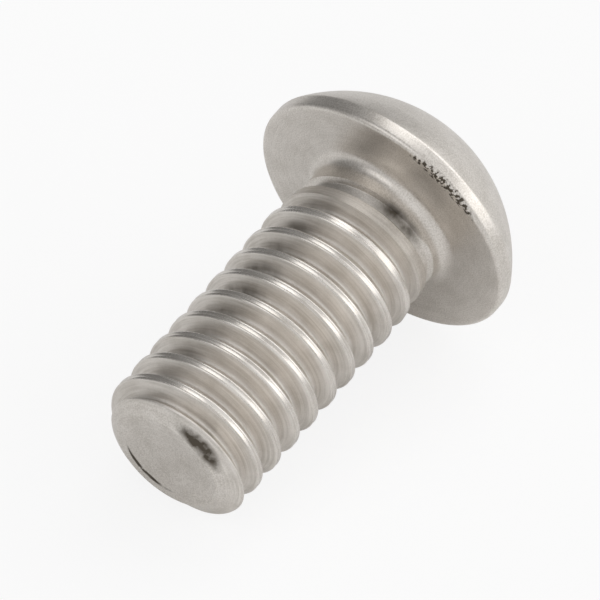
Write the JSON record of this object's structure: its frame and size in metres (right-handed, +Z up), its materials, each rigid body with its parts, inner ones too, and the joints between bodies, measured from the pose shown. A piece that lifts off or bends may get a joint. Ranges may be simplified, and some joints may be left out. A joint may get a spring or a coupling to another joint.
{
  "type": "button head screw",
  "caption": "Button head screw with a low domed head, a hex socket, a filleted neck and a right-hand machine thread down to a chamfered end, lying on its side.",
  "frame": {"origin": "on the floor, under the middle of the lying screw", "axes": "+Z up; +X towards the head, over the screw's axis, which dips 10.1 degrees towards its thread end at -X; +Y across the screw"},
  "size_m": [0.021, 0.0134, 0.0133],
  "materials": {
    "steel": "satin stainless steel, forged head and rolled thread"
  },
  "bodies": {
    "root": {"button_head_screw": "steel"}
  },
  "joints": []
}
